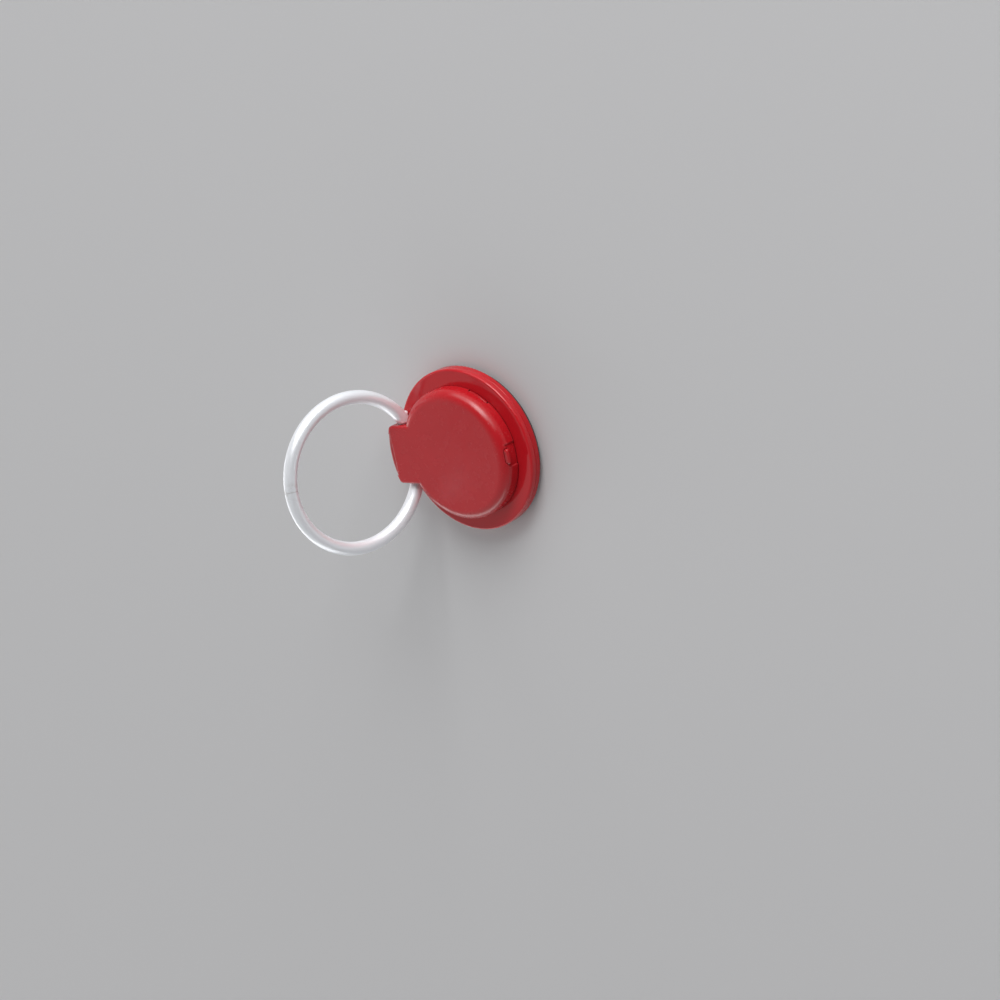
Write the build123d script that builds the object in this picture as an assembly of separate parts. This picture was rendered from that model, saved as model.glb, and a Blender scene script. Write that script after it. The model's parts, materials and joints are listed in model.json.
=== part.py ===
from build123d import *
from math import atan2, degrees, sqrt
import os

# Phone ring holder, in millimetres. The adhesive face lies on Z = 0, centred on the origin, and +Z points
# away from the phone. The hinge tab is towards -X, and the finger ring stands open, leaning past upright.

# Base disc: adhesive pad, rear plate and front cover
base_radius = 16.65
pad_thickness = 0.8
pad_inset = 0.7
plate_thickness = 1.4
plate_edge_round = 0.3
cover_thickness = 1.3
cover_edge_round = 0.4
parting_chamfer = 0.1
ridge_inset = 2.65
ridge_width = 1.0
ridge_height = 0.5
ridge_clearance = 0.05

# Swivel: split spindle with snap claws, turning in the cover's bore
spindle_radius = 5.0
spindle_wall = 1.3
spindle_clearance = 0.08
spin_clearance = 0.12
bore_chamfer = 0.3
claw_overhang = 0.6
claw_land = 0.25
claw_play = 0.1
claw_count = 4
claw_slit = 1.2
recess_floor = 0.5
recess_clearance = 0.7

# Cap shell
cap_gap = 0.21
cap_height = 3.8
cap_edge_round = 2.0
cap_wall = 1.2
cap_top_wall = 0.9
cap_inner_round = 0.8
shell_clearance = 0.1

# Carrier floor and the keys that sit in the cap's foot windows
floor_thickness = 1.1
key_angles = (59, 121, 239, 301)
key_width = 4.5
key_height = 0.5
key_inset = 0.05
key_end_gap = 0.25

# Spring latch opposite the tab
notch_width = 4.5
notch_depth = 0.22
latch_width = 4.0
latch_thickness = 1.0
latch_slit = 0.6
latch_length = 4.0
nub_length = 3.0
nub_height = 1.15
nub_drop = 0.77
nub_end_round = 0.45
nub_face_round = 0.25
nub_proud = 0.1
nub_clearance = 0.06

# Hinge tab, and the tongue that fills the cut-out in its end
tab_width = 12.0
tab_end_wall = 1.3
tab_corner_round = 1.0
tab_edge_round = 0.4
tab_bulkhead = 1.0
cutout_chamfer = 0.1
tongue_depth = 1.05
tongue_width = 8.5
tongue_proud = 0.25
tongue_drop = 0.25
tongue_edge_round = 0.7

# Finger ring
ring_inset = 0.32
wire_radius = 1.36
bend_radius = 1.8
pin_radius = 1.0
pin_clearance = 0.05
shoulder_gap = 0.15
shoulder_round = 0.35
ring_rest_gap = 0.2
pip_setback = 0.2
pip_radius = 0.52
pip_sink = 0.6
seam_angle = 4.8
seam_width = 0.12
seam_depth = 0.1
ring_open_angle = 103.3

# Levels
plate_bottom = pad_thickness
cover_bottom = plate_bottom + plate_thickness
base_top = cover_bottom + cover_thickness
turn_bottom = base_top + spin_clearance
key_top = turn_bottom + key_height
cap_top = turn_bottom + cap_height
cavity_top = cap_top - cap_top_wall
hinge_z = base_top + wire_radius + ring_rest_gap
recess_bottom = plate_bottom + recess_floor
claw_top = cover_bottom - claw_play
claw_bottom = recess_bottom + claw_play
latch_top = cavity_top - nub_clearance
nub_top = cap_top - nub_drop
nub_bottom = nub_top - nub_height

# Radii: the stowed ring lies inside the base's edge, and the cap lies inside the ring
ring_radius = base_radius - ring_inset - wire_radius
cap_radius = ring_radius - wire_radius - cap_gap
cap_inner_radius = cap_radius - cap_wall
carrier_radius = cap_inner_radius - shell_clearance
ridge_radius = base_radius - ridge_inset
latch_inner = carrier_radius - latch_thickness
claw_radius = spindle_radius + claw_overhang
saddle_bore = pin_radius + pin_clearance

# The straight pin and the round wire meet in two tangent bends beside the tab
shoulder_y = tab_width / 2 + shoulder_gap
bend_offset = sqrt((ring_radius - bend_radius) ** 2 - shoulder_y ** 2)
arc_half_angle = degrees(atan2(shoulder_y, -bend_offset))
pip_angle = arc_half_angle - degrees(pip_setback / ring_radius)

# Reaches from the centre towards the tab's end, which is rounded about the centre
hinge_reach = bend_radius + bend_offset
cutout_reach = hinge_reach + saddle_bore + tab_end_wall
tab_radius = cutout_reach + tongue_depth
tongue_radius = tab_radius + tongue_proud

# Solids that are joined reach this far into each other, and cutters reach this far past what they cut
overlap = 0.4
saddle_start = sqrt(carrier_radius ** 2 - (tab_width / 2) ** 2) - overlap


def disc(radius, bottom, top):
    """A round disc between two levels."""
    return Pos(0, 0, bottom) * Cylinder(radius, top - bottom, align=(Align.CENTER, Align.CENTER, Align.MIN))


def block(x_range, width, z_range):
    """A block centred on Y = 0, given its span in X and Z."""
    corner = (Align.MIN, Align.CENTER, Align.MIN)
    size = (x_range[1] - x_range[0], width, z_range[1] - z_range[0])
    return Pos(x_range[0], 0, z_range[0]) * Box(*size, align=corner)


def hinge_rod(radius, length):
    """A round rod on the hinge axis."""
    return Pos(-hinge_reach, 0, hinge_z) * Rot(90, 0, 0) * Cylinder(radius, length)


def top_edges(shape):
    return shape.edges().group_by(Axis.Z)[-1]


def bottom_edges(shape):
    return shape.edges().group_by(Axis.Z)[0]


def make_adhesive_pad():
    return disc(base_radius - pad_inset, 0, pad_thickness)


def make_base_plate():
    """Rear layer: a disc with a locating ridge in front and a recess for the snap claws."""
    plate = disc(base_radius, plate_bottom, cover_bottom)
    plate = fillet(bottom_edges(plate), plate_edge_round)
    plate = chamfer(top_edges(plate), parting_chamfer)
    ridge_top = cover_bottom + ridge_height
    ridge = disc(ridge_radius + ridge_width / 2, cover_bottom - overlap, ridge_top)
    ridge -= disc(ridge_radius - ridge_width / 2, cover_bottom - overlap, ridge_top)
    recess = disc(claw_radius + recess_clearance, recess_bottom, cover_bottom)
    return plate + ridge - recess


def make_base_cover():
    """Front layer: a glossy disc with a rounded edge, and a bore that the spindle turns in."""
    cover = disc(base_radius, cover_bottom, base_top)
    cover = fillet(top_edges(cover), cover_edge_round)
    cover = chamfer(bottom_edges(cover), parting_chamfer)
    bore = disc(spindle_radius + spindle_clearance, cover_bottom, base_top)
    cover -= bore
    bore_rim = top_edges(cover).sort_by(SortBy.RADIUS)[0]
    cover = chamfer(bore_rim, bore_chamfer)
    groove_half = ridge_width / 2 + ridge_clearance
    groove_top = cover_bottom + ridge_height + ridge_clearance
    groove = disc(ridge_radius + groove_half, cover_bottom, groove_top)
    groove -= disc(ridge_radius - groove_half, cover_bottom, groove_top)
    return cover - groove


def tab_outline(start):
    """Plan of the hinge tab, from a given distance off the centre out to its rounded end."""
    plan = Pos(-start - tab_radius / 2, 0) * Rectangle(tab_radius, tab_width)
    plan &= Circle(tab_radius)
    return fillet(plan.vertices().group_by(Axis.X)[0], tab_corner_round)


def make_spindle():
    """Tube with hooked claws, parted by slits, that hangs from the carrier's floor."""
    inner = spindle_radius - spindle_wall
    section = Polyline(
        (inner, turn_bottom + overlap),
        (spindle_radius, turn_bottom + overlap),
        (spindle_radius, claw_top),
        (claw_radius, claw_top),
        (claw_radius, claw_top - claw_land),
        (spindle_radius, claw_bottom),
        (inner, claw_bottom),
        close=True,
    )
    spindle = revolve(Plane.XZ * make_face(section), Axis.Z)
    slit = block((0, claw_radius + overlap), claw_slit, (claw_bottom, turn_bottom))
    for number in range(claw_count):
        spindle -= Rot(0, 0, number * 360 / claw_count) * slit
    return spindle


def make_latch():
    """Spring arm behind the cap's notch, with the nub that snaps through it."""
    nub_reach = cap_radius + nub_proud
    arm = block((latch_inner, carrier_radius), latch_width, (turn_bottom, latch_top))
    arm &= disc(carrier_radius, turn_bottom, latch_top)
    nub = block((latch_inner, nub_reach), nub_length, (nub_bottom, nub_top))
    nub = fillet(nub.edges().filter_by(Axis.X), nub_end_round)
    nub &= disc(nub_reach, nub_bottom, nub_top)
    nub = fillet(nub.faces().sort_by(Axis.X)[-1].edges(), nub_face_round)
    return arm + nub


def make_tongue():
    """Upright lip at the saddle's end, which fills the cut-out in the cap's tab."""
    tongue_top = cap_top - tongue_drop
    lip = disc(tongue_radius, turn_bottom, tongue_top)
    lip &= block((-tongue_radius, -cutout_reach - shell_clearance), tongue_width, (turn_bottom, tongue_top))
    return fillet(top_edges(lip).filter_by(GeomType.CIRCLE), tongue_edge_round)


def make_swivel_carrier():
    """Lower shell of the turntable: floor, spindle, keys, latch, saddle and tongue."""
    floor_top = turn_bottom + floor_thickness
    carrier = disc(carrier_radius, turn_bottom, floor_top)
    for angle in key_angles:
        key = block((carrier_radius - overlap, cap_radius), key_width, (turn_bottom, key_top))
        key &= disc(cap_radius - key_inset, turn_bottom, key_top)
        carrier += Rot(0, 0, angle) * key
    for side in (-1, 1):
        slit = block((carrier_radius - latch_length, cap_radius), latch_slit, (turn_bottom, floor_top))
        carrier -= Pos(0, side * (latch_width + latch_slit) / 2, 0) * slit
    saddle_top = hinge_z - shell_clearance / 2
    saddle = Pos(0, 0, turn_bottom) * extrude(tab_outline(saddle_start), saddle_top - turn_bottom)
    carrier += saddle
    carrier += make_latch()
    carrier += make_tongue()
    carrier += make_spindle()
    return carrier - hinge_rod(saddle_bore, tab_width + 2 * overlap)


def cap_solid(radius, bottom, top, edge_round):
    """A round cap with a rounded top edge."""
    cap = disc(radius, bottom, top)
    return fillet(top_edges(cap), edge_round)


def make_tab():
    """Upper half of the hinge tab, with rounded edges and a chamfered cut-out in its end."""
    tab = Pos(0, 0, hinge_z) * extrude(tab_outline(0), cap_top - hinge_z)
    inner_end = tab.edges().group_by(Axis.X)[-1]
    tab_rim = [edge for edge in top_edges(tab) if edge not in inner_end]
    tab = fillet(tab_rim, tab_edge_round)
    outer_end = -tab_radius - overlap
    section = Polyline(
        (outer_end, hinge_z),
        (-cutout_reach, hinge_z),
        (-cutout_reach, cap_top - cutout_chamfer),
        (cutout_chamfer - cutout_reach, cap_top),
        (outer_end, cap_top),
        close=True,
    )
    cutout_half = tongue_width / 2 + shell_clearance
    return tab - extrude(Plane.XZ * make_face(section), cutout_half, both=True)


def make_latch_openings():
    """Shallow notch in the cap's wall, a slot for the nub, and a pocket for the spring arm behind it."""
    slot_bottom = nub_bottom - nub_clearance
    slot_top = nub_top + nub_clearance
    notch = block((0, cap_radius + overlap), notch_width, (turn_bottom, slot_top))
    notch -= disc(cap_radius - notch_depth, turn_bottom, slot_top)
    slot_width = nub_length + 2 * nub_clearance
    slot = block((latch_inner - nub_clearance, cap_radius), slot_width, (slot_bottom, slot_top))
    slot = fillet(slot.edges().filter_by(Axis.X), nub_end_round + nub_clearance)
    pocket_width = latch_width + 2 * nub_clearance
    pocket = block((latch_inner, cap_inner_radius), pocket_width, (turn_bottom, cavity_top))
    pocket &= disc(cap_inner_radius, turn_bottom, cavity_top)
    return notch, slot, pocket


def make_cap_shell():
    """Upper shell of the turntable, with the hinge tab, foot windows and latch notch."""
    cap = cap_solid(cap_radius, turn_bottom, cap_top, cap_edge_round) + make_tab()
    bulkhead_x = tab_bulkhead + saddle_bore - hinge_reach
    cavity = cap_solid(cap_inner_radius, turn_bottom, cavity_top, cap_inner_round)
    cavity -= block((-cap_radius, bulkhead_x), tab_width, (hinge_z, cap_top))
    cap -= cavity
    doorway_width = tab_width + 2 * shell_clearance
    cap -= block((-cap_radius - overlap, -saddle_start), doorway_width, (turn_bottom, hinge_z))
    window_top = key_top + shell_clearance
    window_width = key_width + 2 * key_end_gap
    window = block((carrier_radius - overlap, cap_radius + overlap), window_width, (turn_bottom, window_top))
    for angle in key_angles:
        cap -= Rot(0, 0, angle) * window
    for opening in make_latch_openings():
        cap -= opening
    return cap - hinge_rod(saddle_bore, tab_width + 2 * overlap)


def make_seam():
    """Fine groove round the wire, where the bent rod's ends meet near the ring's far end."""
    seam = Cylinder(wire_radius + overlap, seam_width) - Cylinder(wire_radius - seam_depth, seam_width)
    return Rot(0, 0, seam_angle) * Pos(ring_radius, 0, hinge_z) * Rot(90, 0, 0) * seam


def make_finger_ring():
    """Bent rod with a thinner straight pin, modelled stowed and then swung open about the hinge."""
    arc = CenterArc((0, 0), ring_radius, -arc_half_angle, 2 * arc_half_angle)
    bend_turn = 180 - arc_half_angle
    upper_bend = CenterArc((-bend_offset, shoulder_y), bend_radius, arc_half_angle, bend_turn)
    lower_bend = CenterArc((-bend_offset, -shoulder_y), bend_radius, 180, bend_turn)
    path = Wire([*lower_bend.edges(), *arc.edges(), *upper_bend.edges()])
    section = Plane(origin=path @ 0, z_dir=path % 0) * Circle(wire_radius)
    rod = sweep(section, path)
    rod = Pos(0, 0, hinge_z) * rod
    rod = fillet(rod.faces().filter_by(GeomType.PLANE).edges(), shoulder_round)
    rod += hinge_rod(pin_radius, 2 * (shoulder_y + overlap))
    pip_distance = ring_radius + wire_radius + pip_radius - pip_sink
    for angle in (-pip_angle, pip_angle):
        rod += Rot(0, 0, angle) * Pos(pip_distance, 0, hinge_z) * Sphere(pip_radius)
    rod -= make_seam()
    hinge = Axis((-hinge_reach, 0, hinge_z), (0, -1, 0))
    return rod.rotate(hinge, ring_open_angle)


parts = {
    "adhesive_pad": make_adhesive_pad(),
    "base_plate": make_base_plate(),
    "base_cover": make_base_cover(),
    "swivel_carrier": make_swivel_carrier(),
    "cap_shell": make_cap_shell(),
    "finger_ring": make_finger_ring(),
}

os.makedirs("parts", exist_ok=True)
for name, shape in parts.items():
    export_step(shape, f"parts/{name}.step")
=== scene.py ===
import json
import math

import bmesh
import bpy
from mathutils import Matrix, Vector


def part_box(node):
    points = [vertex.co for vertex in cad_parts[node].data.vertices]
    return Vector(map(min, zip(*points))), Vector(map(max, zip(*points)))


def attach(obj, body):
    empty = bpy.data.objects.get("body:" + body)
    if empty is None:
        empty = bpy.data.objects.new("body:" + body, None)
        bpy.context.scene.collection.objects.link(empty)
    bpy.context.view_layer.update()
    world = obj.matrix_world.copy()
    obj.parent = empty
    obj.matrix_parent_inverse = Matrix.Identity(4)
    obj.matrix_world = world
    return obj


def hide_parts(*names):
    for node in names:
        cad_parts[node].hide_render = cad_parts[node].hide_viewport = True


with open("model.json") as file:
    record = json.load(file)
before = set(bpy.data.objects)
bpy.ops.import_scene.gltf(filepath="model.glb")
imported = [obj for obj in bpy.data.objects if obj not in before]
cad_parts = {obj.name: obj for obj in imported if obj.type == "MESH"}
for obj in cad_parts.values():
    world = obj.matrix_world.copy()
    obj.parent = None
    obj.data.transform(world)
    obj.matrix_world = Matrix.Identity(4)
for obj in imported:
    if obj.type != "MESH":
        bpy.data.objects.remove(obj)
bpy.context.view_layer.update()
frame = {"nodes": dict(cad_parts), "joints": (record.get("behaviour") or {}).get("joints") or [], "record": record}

# Phone ring holder: red turntable and base, satin silver ring, black foam pad. Metres, +Z up.
mm = 0.001

# Camera of the photograph, in the object's frame
camera_place = Vector((0.37222, 0.14282, 0.38949))
camera_right = Vector((0.7495, -0.2020, -0.6305))
camera_up = Vector((-0.0334, 0.9396, -0.3407))
camera_lens = 101.87
camera_sensor = 36.0

# Studio
floor_half = 4.0
floor_color = (0.57, 0.57, 0.58)
world_pale_side = Vector((-0.62, -0.62, -0.25))
world_pale = 0.72
world_dim = 0.04
world_fade = (-0.95, 0.85)

# Finishes, linear colours
red_deep = (0.415, 0.0080, 0.0135)
red_light = (0.455, 0.0095, 0.0155)
# painted highlight: the pale colour laid on the upper edges
red_painted_highlight = (0.60, 0.045, 0.055)
red_dusty = (0.62, 0.22, 0.22)
# painted shade: the near-black red laid into gaps and crevices
red_painted_shade = (0.035, 0.0015, 0.0020)
# painted light colour: silver's faint blue stands in for bluish light falling on the ring
silver = (0.90, 0.92, 0.96)
silver_worn = (0.66, 0.66, 0.66)
silver_seam = (0.74, 0.74, 0.74)
foam_black = (0.018, 0.018, 0.020)
foam_grey = (0.035, 0.035, 0.038)

# Red finish: which edges get a painted highlight (turn pale) and at what height, the painted shade darkening gaps
# and crevices, and the peel's depth
edge_turn = (0.90, 0.99)
edge_height = (2.2 * mm, 3.0 * mm)
gap_reach = 0.6 * mm
gap_open = (0.20, 0.52)
peel_depth = 0.002 * mm

# Ring and foam finishes
ring_metallic = 0.40
ring_gloss = (0.30, 0.38)
grain_depth = 0.004 * mm
seam_half = (0.05 * mm, 0.10 * mm)
seam_reach = (1.6 * mm, 1.8 * mm)
scuff_reach = (1.0 * mm, 3.0 * mm)
foam_cell_depth = 0.03 * mm
foam_swell = 0.12 * mm

# The latch's overhang: its size, how far it passes the nub, and how far it lies below the cap's top
catch_length = 3.04 * mm
catch_height = 1.1 * mm
catch_depth = 1.05 * mm
catch_overhang = 0.45 * mm
catch_undercut = 0.33 * mm
catch_drop = 0.76 * mm
catch_round = 0.42 * mm

# Ring at rest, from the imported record
ring_joint = next(joint for joint in frame["joints"] if joint["name"] == "ring_flip")
loop_mount = next(mount for mount in frame["record"]["mounts"] if mount["name"] == "finger_loop")
ring_hinge = Vector(ring_joint["pos_m"])
ring_centre = Vector(loop_mount["pos_m"])
seam_turn = math.radians(4.8)
ring_radius = (loop_mount["dims"]["r_mm"] + loop_mount["dims"]["length_mm"] / 2) * mm
far_way = (ring_centre - ring_hinge).normalized()
side_way = Vector((0, 1, 0))
seam_place = ring_centre + ring_radius * (math.cos(seam_turn) * far_way + math.sin(seam_turn) * side_way)


class Nodes:
    """Short helper for building one material's node tree."""

    def __init__(self, tree):
        self.tree = tree

    def add(self, kind, **settings):
        node = self.tree.nodes.new(kind)
        for name, value in settings.items():
            setattr(node, name, value)
        return node

    def join(self, source, target):
        self.tree.links.new(source, target)


def new_material(name):
    material = bpy.data.materials.new(name)
    material.use_nodes = True
    tree = material.node_tree
    return material, Nodes(tree), tree.nodes["Principled BSDF"]


def noise(nodes, coordinates, scale, detail=2.0, roughness=0.5):
    texture = nodes.add("ShaderNodeTexNoise")
    texture.inputs["Scale"].default_value = scale
    texture.inputs["Detail"].default_value = detail
    texture.inputs["Roughness"].default_value = roughness
    nodes.join(coordinates, texture.inputs["Vector"])
    return texture.outputs["Fac"]


def remap(nodes, value, low, high, new_low, new_high):
    node = nodes.add("ShaderNodeMapRange", interpolation_type="SMOOTHSTEP")
    node.inputs["From Min"].default_value = low
    node.inputs["From Max"].default_value = high
    node.inputs["To Min"].default_value = new_low
    node.inputs["To Max"].default_value = new_high
    nodes.join(value, node.inputs["Value"])
    return node.outputs["Result"]


def math_node(nodes, operation, first, second):
    node = nodes.add("ShaderNodeMath", operation=operation)
    for socket, value in zip(node.inputs, (first, second)):
        if isinstance(value, (int, float)):
            socket.default_value = value
        else:
            nodes.join(value, socket)
    return node.outputs["Value"]


def mix_color(nodes, factor, first, second):
    node = nodes.add("ShaderNodeMix", data_type="RGBA")
    nodes.join(factor, node.inputs["Factor"])
    for socket, value in zip((node.inputs[6], node.inputs[7]), (first, second)):
        if isinstance(value, tuple):
            socket.default_value = (*value, 1)
        else:
            nodes.join(value, socket)
    return node.outputs[2]


def bump(nodes, height, distance, strength, normal=None):
    node = nodes.add("ShaderNodeBump")
    node.inputs["Strength"].default_value = strength
    node.inputs["Distance"].default_value = distance
    nodes.join(height, node.inputs["Height"])
    if normal is not None:
        nodes.join(normal, node.inputs["Normal"])
    return node.outputs["Normal"]


def near(nodes, place, centre, inner, outer):
    """1 within the inner distance of a place, fading to 0 at the outer distance."""
    distance = nodes.add("ShaderNodeVectorMath", operation="DISTANCE")
    nodes.join(place, distance.inputs[0])
    distance.inputs[1].default_value = centre
    return remap(nodes, distance.outputs["Value"], inner, outer, 1.0, 0.0)


def red_plastic(name, gloss_low, gloss_high, shade=1.0, shine=0.5,
                edge_round=0.2 * mm, painted_edge_highlight=0.0, dust=0.0):
    """Moulded gloss plastic: a painted highlight on paler upper edges, painted shade darkening its gaps, dust,
    smudges and a fine orange peel.
    """
    material, nodes, shader = new_material(name)
    place = nodes.add("ShaderNodeTexCoord").outputs["Object"]
    rounded = nodes.add("ShaderNodeBevel", samples=16)
    rounded.inputs["Radius"].default_value = edge_round
    turn = nodes.add("ShaderNodeVectorMath", operation="DOT_PRODUCT")
    nodes.join(rounded.outputs["Normal"], turn.inputs[0])
    nodes.join(nodes.add("ShaderNodeNewGeometry").outputs["Normal"], turn.inputs[1])
    edge = remap(nodes, turn.outputs["Value"], *edge_turn, painted_edge_highlight, 0.0)
    height = nodes.add("ShaderNodeSeparateXYZ")
    nodes.join(place, height.inputs["Vector"])
    upper = remap(nodes, height.outputs["Z"], *edge_height, 0.0, 1.0)
    # painted highlight mask: upper edges, found where the rounded normal turns from the true one
    scuff_and_painted_highlight = math_node(nodes, "MULTIPLY", edge, upper)
    # painted shade: ambient occlusion darkens the red in gaps, crevices and corners
    crevice_shade = nodes.add("ShaderNodeAmbientOcclusion", samples=8)
    crevice_shade.inputs["Distance"].default_value = gap_reach
    open_part = remap(nodes, crevice_shade.outputs["AO"], *gap_open, 0.0, 1.0)
    deep = tuple(shade * part for part in red_deep)
    light = tuple(shade * part for part in red_light)
    flow = mix_color(nodes, noise(nodes, place, 160, 3), deep, light)
    specks = remap(nodes, noise(nodes, place, 1500, 3, 0.6), 0.66, 0.72, 0.0, dust)
    surface = mix_color(nodes, specks, mix_color(nodes, scuff_and_painted_highlight, flow, red_painted_highlight), red_dusty)
    color = mix_color(nodes, open_part, red_painted_shade, surface)
    nodes.join(color, shader.inputs["Base Color"])
    gloss = remap(nodes, noise(nodes, place, 420, 5, 0.6), 0.35, 0.70, gloss_low, gloss_high)
    nodes.join(gloss, shader.inputs["Roughness"])
    peel = bump(nodes, noise(nodes, place, 1600, 1), peel_depth, 0.5, rounded.outputs["Normal"])
    nodes.join(peel, shader.inputs["Normal"])
    shader.inputs["IOR"].default_value = 1.5
    shader.inputs["Specular IOR Level"].default_value = shine
    return material


def across_seam(nodes, place):
    """1 in the hairline where the rod's ends meet, fading to 0 beside it."""
    offset = nodes.add("ShaderNodeVectorMath", operation="SUBTRACT")
    nodes.join(place, offset.inputs[0])
    offset.inputs[1].default_value = seam_place
    along = nodes.add("ShaderNodeVectorMath", operation="DOT_PRODUCT")
    nodes.join(offset.outputs["Vector"], along.inputs[0])
    along.inputs[1].default_value = math.cos(seam_turn) * side_way - math.sin(seam_turn) * far_way
    distance = nodes.add("ShaderNodeMath", operation="ABSOLUTE")
    nodes.join(along.outputs["Value"], distance.inputs[0])
    return remap(nodes, distance.outputs["Value"], *seam_half, 1.0, 0.0)


def satin_silver():
    """Satin plated rod: a fine even grain, and a few scuffs beside the seam where the rod's ends meet."""
    material, nodes, shader = new_material("satin_silver")
    place = nodes.add("ShaderNodeTexCoord").outputs["Object"]
    grain = noise(nodes, place, 9000, 2)
    cloud = noise(nodes, place, 300, 4)
    nodes.join(remap(nodes, cloud, 0.3, 0.7, *ring_gloss), shader.inputs["Roughness"])
    scuffs = remap(nodes, noise(nodes, place, 620, 4, 0.65), 0.48, 0.62, 0.0, 0.6)
    scuff_and_painted_highlight = math_node(nodes, "MULTIPLY", scuffs, near(nodes, place, seam_place, *scuff_reach))
    at_seam = near(nodes, place, seam_place, *seam_reach)
    seam = math_node(nodes, "MULTIPLY", across_seam(nodes, place), at_seam)
    plating = mix_color(nodes, scuff_and_painted_highlight, silver, silver_worn)
    nodes.join(mix_color(nodes, seam, plating, silver_seam), shader.inputs["Base Color"])
    shader.inputs["Metallic"].default_value = ring_metallic
    nodes.join(bump(nodes, grain, grain_depth, 0.4), shader.inputs["Normal"])
    return material


def black_foam():
    """Die-cut closed-cell foam: matt black with fine cells."""
    material, nodes, shader = new_material("black_foam")
    place = nodes.add("ShaderNodeTexCoord").outputs["Object"]
    cells = nodes.add("ShaderNodeTexVoronoi")
    cells.inputs["Scale"].default_value = 6500
    nodes.join(place, cells.inputs["Vector"])
    tone = remap(nodes, cells.outputs["Distance"], 0.0, 0.8, 0.0, 1.0)
    nodes.join(mix_color(nodes, tone, foam_black, foam_grey), shader.inputs["Base Color"])
    nodes.join(bump(nodes, cells.outputs["Distance"], foam_cell_depth, 0.6), shader.inputs["Normal"])
    shader.inputs["Roughness"].default_value = 0.85
    return material


def finish_node(node, material):
    """Gives a CAD node its finish."""
    slots = frame["nodes"][node].data.materials
    slots.clear()
    slots.append(material)


def add_piece(name, mesh_maker, material, body):
    """A new piece at the origin, riding on a body."""
    shape = bmesh.new()
    mesh_maker(shape)
    mesh = bpy.data.meshes.new(name)
    shape.to_mesh(mesh)
    shape.free()
    mesh.materials.append(material)
    piece = bpy.data.objects.new(name, mesh)
    bpy.context.scene.collection.objects.link(piece)
    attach(piece, body)
    return piece


def foam_pad_mesh(shape):
    """A foam disc whose cut side bulges a little between its two faces."""
    low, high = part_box("adhesive_pad")
    radius = (high.x - low.x) / 2
    thickness = high.z - low.z
    bmesh.ops.create_circle(shape, segments=160, radius=radius, cap_ends=True)
    grown = bmesh.ops.extrude_face_region(shape, geom=shape.faces[:])
    top = [item for item in grown["geom"] if isinstance(item, bmesh.types.BMVert)]
    bmesh.ops.translate(shape, verts=top, vec=(0, 0, thickness))
    walls = [edge for edge in shape.edges if abs(edge.verts[0].co.z - edge.verts[1].co.z) > thickness / 2]
    bmesh.ops.subdivide_edges(shape, edges=walls, cuts=5, use_grid_fill=True)
    for vert in shape.verts:
        level = 2 * (vert.co.z - low.z) / thickness - 1
        swell = 1 + foam_swell * (1 - level * level) / radius
        vert.co.x *= swell
        vert.co.y *= swell
    bmesh.ops.recalc_face_normals(shape, faces=shape.faces[:])
    for face in shape.faces:
        face.smooth = len(face.verts) == 4


def ring_catch_mesh(shape):
    """The nub's rounded overhang, which the ring snaps under when it is stowed."""
    nub_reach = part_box("swivel_carrier")[1].x
    cap_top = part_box("cap_shell")[1].z
    middle_x = nub_reach + catch_overhang - catch_depth / 2
    middle_z = cap_top - catch_drop - catch_height / 2
    middle = Vector((middle_x, 0, middle_z))
    size = Matrix.Diagonal((catch_depth, catch_length, catch_height, 1))
    bmesh.ops.create_cube(shape, size=1, matrix=Matrix.Translation(middle) @ size)
    low_outer = [vert for vert in shape.verts if vert.co.x > middle.x and vert.co.z < middle.z]
    bmesh.ops.translate(shape, verts=low_outer, vec=(-catch_undercut, 0, 0))
    bmesh.ops.bevel(shape, geom=shape.edges[:], offset=catch_round, affect="EDGES",
                    segments=5, profile=0.5, material=-1)
    for face in shape.faces:
        face.smooth = True


def add_floor():
    mesh = bpy.data.meshes.new("floor")
    shape = bmesh.new()
    bmesh.ops.create_grid(shape, x_segments=1, y_segments=1, size=floor_half)
    shape.to_mesh(mesh)
    shape.free()
    material, nodes, shader = new_material("pale_floor")
    shader.inputs["Base Color"].default_value = (*floor_color, 1)
    shader.inputs["Roughness"].default_value = 0.6
    mesh.materials.append(material)
    floor = bpy.data.objects.new("floor", mesh)
    bpy.context.scene.collection.objects.link(floor)


def add_softbox(name, azimuth, elevation, distance, across, tall, radiance):
    """A rectangular lamp aimed at the holder, sized by the angles that it spans from there."""
    azimuth, elevation = math.radians(azimuth), math.radians(elevation)
    light = bpy.data.lights.new(name, "AREA")
    light.shape = "RECTANGLE"
    light.size = 2 * distance * math.tan(math.radians(across) / 2)
    light.size_y = 2 * distance * math.tan(math.radians(tall) / 2)
    light.energy = radiance * math.pi * light.size * light.size_y
    lamp = bpy.data.objects.new(name, light)
    flat = math.cos(elevation)
    direction = Vector((flat * math.cos(azimuth), flat * math.sin(azimuth), math.sin(elevation)))
    lamp.location = direction * distance
    lamp.rotation_euler = direction.to_track_quat("Z", "Y").to_euler()
    lamp.visible_camera = False
    bpy.context.scene.collection.objects.link(lamp)


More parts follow.
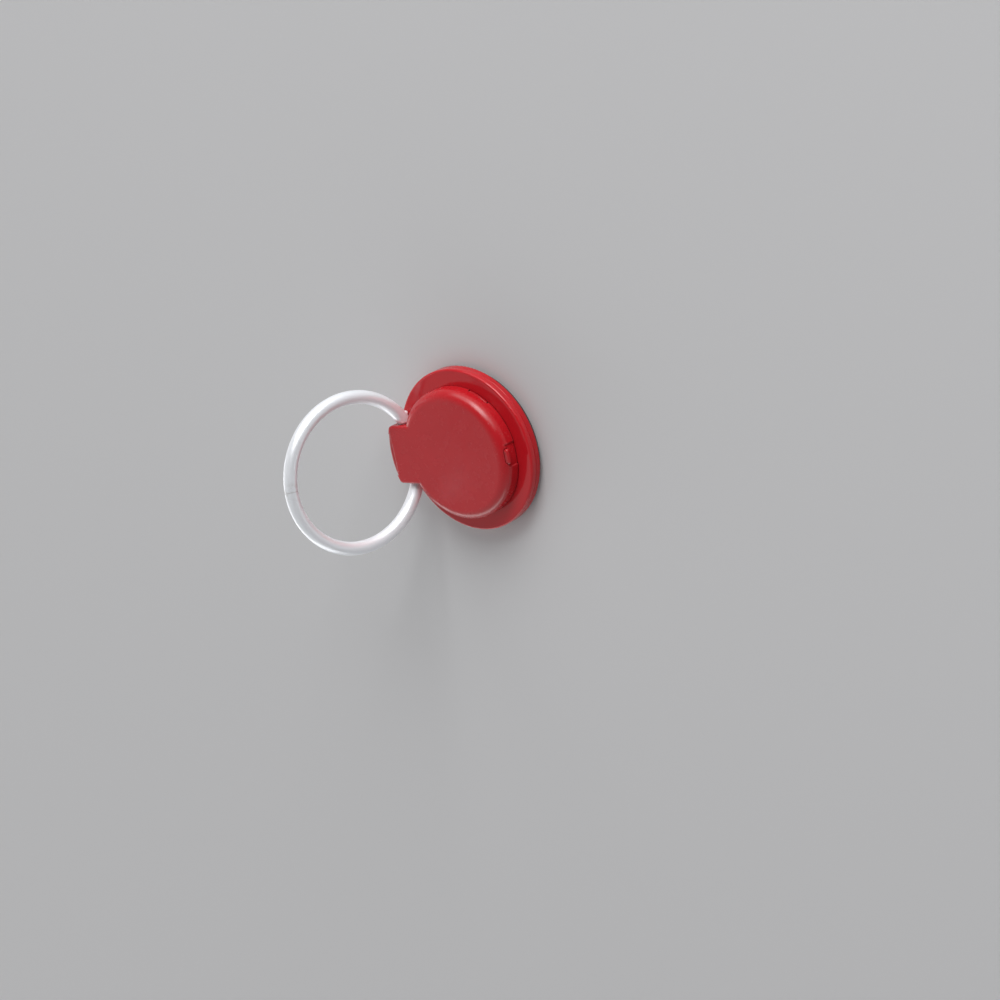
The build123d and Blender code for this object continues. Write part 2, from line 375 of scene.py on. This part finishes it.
def set_world():
    """A pale room, dimmer on one side."""
    world = bpy.data.worlds.new("pale_room")
    world.use_nodes = True
    bpy.context.scene.world = world
    nodes = Nodes(world.node_tree)
    direction = nodes.add("ShaderNodeTexCoord").outputs["Generated"]
    facing = nodes.add("ShaderNodeVectorMath", operation="DOT_PRODUCT")
    nodes.join(direction, facing.inputs[0])
    facing.inputs[1].default_value = world_pale_side
    level = remap(nodes, facing.outputs["Value"], *world_fade, world_dim, world_pale)
    nodes.join(level, world.node_tree.nodes["Background"].inputs["Strength"])
    world.node_tree.nodes["Background"].inputs["Color"].default_value = (1, 1, 1, 1)


def set_camera():
    data = bpy.data.cameras.new("photo_camera")
    data.lens = camera_lens
    data.sensor_width = camera_sensor
    camera = bpy.data.objects.new("photo_camera", data)
    right = camera_right.normalized()
    back = right.cross(camera_up).normalized()
    up = back.cross(right)
    camera.matrix_world = Matrix.Translation(camera_place) @ Matrix((right, up, back)).transposed().to_4x4()
    bpy.context.scene.collection.objects.link(camera)
    bpy.context.scene.camera = camera


set_camera()
set_world()
add_softbox("key_softbox", azimuth=74, elevation=18, distance=1.5, across=80, tall=36, radiance=2.2)
add_softbox("key_core", azimuth=70, elevation=24, distance=1.4, across=26, tall=36, radiance=7.0)
add_softbox("low_card", azimuth=-130, elevation=10, distance=1.2, across=120, tall=18, radiance=2.2)
add_floor()

cap_red = red_plastic("cap_red", 0.24, 0.29, edge_round=0.4 * mm, painted_edge_highlight=0.5, dust=0.35)
# painted shade: shade=0.85 darkens the carrier's red, standing in for the darker tongue strip beside the tab
carrier_red = red_plastic("carrier_red", 0.10, 0.15, shade=0.85, painted_edge_highlight=0.4)
gloss_red = red_plastic("gloss_red", 0.07, 0.11, shade=1.1, shine=0.45, edge_round=0.25 * mm, painted_edge_highlight=0.25)
satin_red = red_plastic("satin_red", 0.12, 0.18, shine=0.3)
finish_node("cap_shell", cap_red)
finish_node("swivel_carrier", carrier_red)
finish_node("base_cover", gloss_red)
finish_node("base_plate", satin_red)
finish_node("finger_ring", satin_silver())

foam_pad = add_piece("adhesive_foam", foam_pad_mesh, black_foam(), "base")
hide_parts("adhesive_pad")
add_piece("ring_catch", ring_catch_mesh, cap_red, "turntable")

bpy.context.scene.view_settings.view_transform = "Standard"
